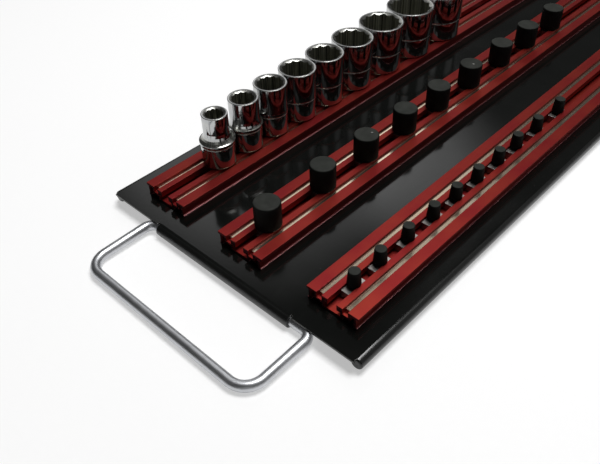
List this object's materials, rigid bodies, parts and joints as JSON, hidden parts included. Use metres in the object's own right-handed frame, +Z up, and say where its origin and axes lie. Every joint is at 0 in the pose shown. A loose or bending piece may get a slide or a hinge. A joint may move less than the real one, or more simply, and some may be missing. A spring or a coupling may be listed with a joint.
{
  "type": "socket tray",
  "caption": "Flat rolled-edge steel tray with a wire handle hinged at each end and three riveted aluminium rails, whose sliding clips carry posts that hold upright sockets.",
  "frame": {"origin": "middle of the tray, on the plane that its hinge rolls stand on", "axes": "+X across the tray towards the quarter-inch rail, +Y along the tray from the end with the filled clips to the far end, +Z up"},
  "size_m": [0.1535, 0.531, 0.0403],
  "materials": {
    "black_paint": "gloss black paint on sheet steel, with slight orange peel",
    "zinc_wire": "bright zinc plate on drawn wire",
    "red_anodising": "satin red anodising with fine lines along the extrusion",
    "bright_strip": "bright rolled strip with a warm tint",
    "rivet_metal": "plain rivet heads",
    "slider_steel": "bright plated pressing",
    "black_stud": "moulded black, slightly glossy",
    "socket_chrome": "polished chrome plate"
  },
  "bodies": {
    "tray": {"tray": "black_paint", "left_rail": "red_anodising", "middle_rail": "red_anodising", "right_rail": "red_anodising", "left_rail_strips": "bright_strip", "middle_rail_strips": "bright_strip", "right_rail_strips": "bright_strip", "rail_rivets": "rivet_metal"},
    "near_handle": {"near_handle": "zinc_wire"},
    "far_handle": {"far_handle": "zinc_wire"},
    "quarter_clip_1": {"quarter_slider_1": "slider_steel", "quarter_stud_1": "black_stud"},
    "quarter_clip_2": {"quarter_slider_2": "slider_steel", "quarter_stud_2": "black_stud"},
    "quarter_clip_3": {"quarter_slider_3": "slider_steel", "quarter_stud_3": "black_stud"},
    "quarter_clip_4": {"quarter_slider_4": "slider_steel", "quarter_stud_4": "black_stud"},
    "quarter_clip_5": {"quarter_slider_5": "slider_steel", "quarter_stud_5": "black_stud"},
    "quarter_clip_6": {"quarter_slider_6": "slider_steel", "quarter_stud_6": "black_stud"},
    "quarter_clip_7": {"quarter_slider_7": "slider_steel", "quarter_stud_7": "black_stud"},
    "quarter_clip_8": {"quarter_slider_8": "slider_steel", "quarter_stud_8": "black_stud"},
    "quarter_clip_9": {"quarter_slider_9": "slider_steel", "quarter_stud_9": "black_stud"},
    "quarter_clip_10": {"quarter_slider_10": "slider_steel", "quarter_stud_10": "black_stud"},
    "half_clip_1": {"half_clip_1": "black_stud"},
    "half_clip_2": {"half_clip_2": "black_stud"},
    "half_clip_3": {"half_clip_3": "black_stud"},
    "half_clip_4": {"half_clip_4": "black_stud"},
    "half_clip_5": {"half_clip_5": "black_stud"},
    "half_clip_6": {"half_clip_6": "black_stud"},
    "half_clip_7": {"half_clip_7": "black_stud"},
    "half_clip_8": {"half_clip_8": "black_stud"},
    "half_clip_9": {"half_clip_9": "black_stud"},
    "three_eighth_clip_1": {"three_eighth_clip_1": "black_stud"},
    "three_eighth_clip_2": {"three_eighth_clip_2": "black_stud"},
    "three_eighth_clip_3": {"three_eighth_clip_3": "black_stud"},
    "three_eighth_clip_4": {"three_eighth_clip_4": "black_stud"},
    "three_eighth_clip_5": {"three_eighth_clip_5": "black_stud"},
    "three_eighth_clip_6": {"three_eighth_clip_6": "black_stud"},
    "three_eighth_clip_7": {"three_eighth_clip_7": "black_stud"},
    "three_eighth_clip_8": {"three_eighth_clip_8": "black_stud"},
    "three_eighth_clip_9": {"three_eighth_clip_9": "black_stud"},
    "socket_1": {"socket_1": "socket_chrome"},
    "socket_2": {"socket_2": "socket_chrome"},
    "socket_3": {"socket_3": "socket_chrome"},
    "socket_4": {"socket_4": "socket_chrome"},
    "socket_5": {"socket_5": "socket_chrome"},
    "socket_6": {"socket_6": "socket_chrome"},
    "socket_7": {"socket_7": "socket_chrome"},
    "socket_8": {"socket_8": "socket_chrome"},
    "socket_9": {"socket_9": "socket_chrome"}
  },
  "joints": [
    {"name": "quarter_clip_1_slide", "type": "slide", "parent": "tray", "child": "quarter_clip_1", "axis": [0, 1, 0], "range_m": [-0.0081, 0.003]},
    {"name": "quarter_clip_2_slide", "type": "slide", "parent": "tray", "child": "quarter_clip_2", "axis": [0, 1, 0], "range_m": [-0.003, 0.00415]},
    {"name": "quarter_clip_3_slide", "type": "slide", "parent": "tray", "child": "quarter_clip_3", "axis": [0, 1, 0], "range_m": [-0.00415, 0.00395]},
    {"name": "quarter_clip_4_slide", "type": "slide", "parent": "tray", "child": "quarter_clip_4", "axis": [0, 1, 0], "range_m": [-0.00395, 0.0034]},
    {"name": "quarter_clip_5_slide", "type": "slide", "parent": "tray", "child": "quarter_clip_5", "axis": [0, 1, 0], "range_m": [-0.0034, 0.0036]},
    {"name": "quarter_clip_6_slide", "type": "slide", "parent": "tray", "child": "quarter_clip_6", "axis": [0, 1, 0], "range_m": [-0.0036, 0.00385]},
    {"name": "quarter_clip_7_slide", "type": "slide", "parent": "tray", "child": "quarter_clip_7", "axis": [0, 1, 0], "range_m": [-0.00385, 0.0031]},
    {"name": "quarter_clip_8_slide", "type": "slide", "parent": "tray", "child": "quarter_clip_8", "axis": [0, 1, 0], "range_m": [-0.0031, 0.0046]},
    {"name": "quarter_clip_9_slide", "type": "slide", "parent": "tray", "child": "quarter_clip_9", "axis": [0, 1, 0], "range_m": [-0.0046, 0.00605]},
    {"name": "quarter_clip_10_slide", "type": "slide", "parent": "tray", "child": "quarter_clip_10", "axis": [0, 1, 0], "range_m": [-0.00605, 0.248]},
    {"name": "half_clip_1_slide", "type": "slide", "parent": "tray", "child": "half_clip_1", "axis": [0, 1, 0], "range_m": [-0.0124, 0.0116]},
    {"name": "half_clip_2_slide", "type": "slide", "parent": "tray", "child": "half_clip_2", "axis": [0, 1, 0], "range_m": [-0.0116, 0.0094]},
    {"name": "half_clip_3_slide", "type": "slide", "parent": "tray", "child": "half_clip_3", "axis": [0, 1, 0], "range_m": [-0.0094, 0.00925]},
    {"name": "half_clip_4_slide", "type": "slide", "parent": "tray", "child": "half_clip_4", "axis": [0, 1, 0], "range_m": [-0.00925, 0.00835]},
    {"name": "half_clip_5_slide", "type": "slide", "parent": "tray", "child": "half_clip_5", "axis": [0, 1, 0], "range_m": [-0.00835, 0.00905]},
    {"name": "half_clip_6_slide", "type": "slide", "parent": "tray", "child": "half_clip_6", "axis": [0, 1, 0], "range_m": [-0.00905, 0.0098]},
    {"name": "half_clip_7_slide", "type": "slide", "parent": "tray", "child": "half_clip_7", "axis": [0, 1, 0], "range_m": [-0.0098, 0.00855]},
    {"name": "half_clip_8_slide", "type": "slide", "parent": "tray", "child": "half_clip_8", "axis": [0, 1, 0], "range_m": [-0.00855, 0.00925]},
    {"name": "half_clip_9_slide", "type": "slide", "parent": "tray", "child": "half_clip_9", "axis": [0, 1, 0], "range_m": [-0.00925, 0.1609]},
    {"name": "three_eighth_clip_1_slide", "type": "slide", "parent": "tray", "child": "three_eighth_clip_1", "axis": [0, 1, 0], "range_m": [-0.0291, 0.00035]},
    {"name": "three_eighth_clip_2_slide", "type": "slide", "parent": "tray", "child": "three_eighth_clip_2", "axis": [0, 1, 0], "range_m": [-0.00035, 0.00035]},
    {"name": "three_eighth_clip_3_slide", "type": "slide", "parent": "tray", "child": "three_eighth_clip_3", "axis": [0, 1, 0], "range_m": [-0.00035, 0.00035]},
    {"name": "three_eighth_clip_4_slide", "type": "slide", "parent": "tray", "child": "three_eighth_clip_4", "axis": [0, 1, 0], "range_m": [-0.00035, 0.00035]},
    {"name": "three_eighth_clip_5_slide", "type": "slide", "parent": "tray", "child": "three_eighth_clip_5", "axis": [0, 1, 0], "range_m": [-0.00035, 0.00035]},
    {"name": "three_eighth_clip_6_slide", "type": "slide", "parent": "tray", "child": "three_eighth_clip_6", "axis": [0, 1, 0], "range_m": [-0.00035, 0.00035]},
    {"name": "three_eighth_clip_7_slide", "type": "slide", "parent": "tray", "child": "three_eighth_clip_7", "axis": [0, 1, 0], "range_m": [-0.00035, 0.00035]},
    {"name": "three_eighth_clip_8_slide", "type": "slide", "parent": "tray", "child": "three_eighth_clip_8", "axis": [0, 1, 0], "range_m": [-0.00035, 0.00035]},
    {"name": "three_eighth_clip_9_slide", "type": "slide", "parent": "tray", "child": "three_eighth_clip_9", "axis": [0, 1, 0], "range_m": [-0.00035, 0.2141]},
    {"name": "socket_1_lift", "type": "slide", "parent": "three_eighth_clip_1", "child": "socket_1", "axis": [0, 0, 1], "range_m": [0, 0.012]},
    {"name": "socket_2_lift", "type": "slide", "parent": "three_eighth_clip_2", "child": "socket_2", "axis": [0, 0, 1], "range_m": [0, 0.012]},
    {"name": "socket_3_lift", "type": "slide", "parent": "three_eighth_clip_3", "child": "socket_3", "axis": [0, 0, 1], "range_m": [0, 0.012]},
    {"name": "socket_4_lift", "type": "slide", "parent": "three_eighth_clip_4", "child": "socket_4", "axis": [0, 0, 1], "range_m": [0, 0.012]},
    {"name": "socket_5_lift", "type": "slide", "parent": "three_eighth_clip_5", "child": "socket_5", "axis": [0, 0, 1], "range_m": [0, 0.012]},
    {"name": "socket_6_lift", "type": "slide", "parent": "three_eighth_clip_6", "child": "socket_6", "axis": [0, 0, 1], "range_m": [0, 0.012]},
    {"name": "socket_7_lift", "type": "slide", "parent": "three_eighth_clip_7", "child": "socket_7", "axis": [0, 0, 1], "range_m": [0, 0.012]},
    {"name": "socket_8_lift", "type": "slide", "parent": "three_eighth_clip_8", "child": "socket_8", "axis": [0, 0, 1], "range_m": [0, 0.012]},
    {"name": "socket_9_lift", "type": "slide", "parent": "three_eighth_clip_9", "child": "socket_9", "axis": [0, 0, 1], "range_m": [0, 0.012]},
    {"name": "near_handle_swing", "type": "hinge", "parent": "tray", "child": "near_handle", "pos_m": [0, -0.2274, 0.00334], "axis": [-1, 0, 0], "range_deg": [-177, 3.4]},
    {"name": "far_handle_swing", "type": "hinge", "parent": "tray", "child": "far_handle", "pos_m": [0, 0.2274, 0.00334], "axis": [1, 0, 0], "range_deg": [-177, 3.4]}
  ]
}
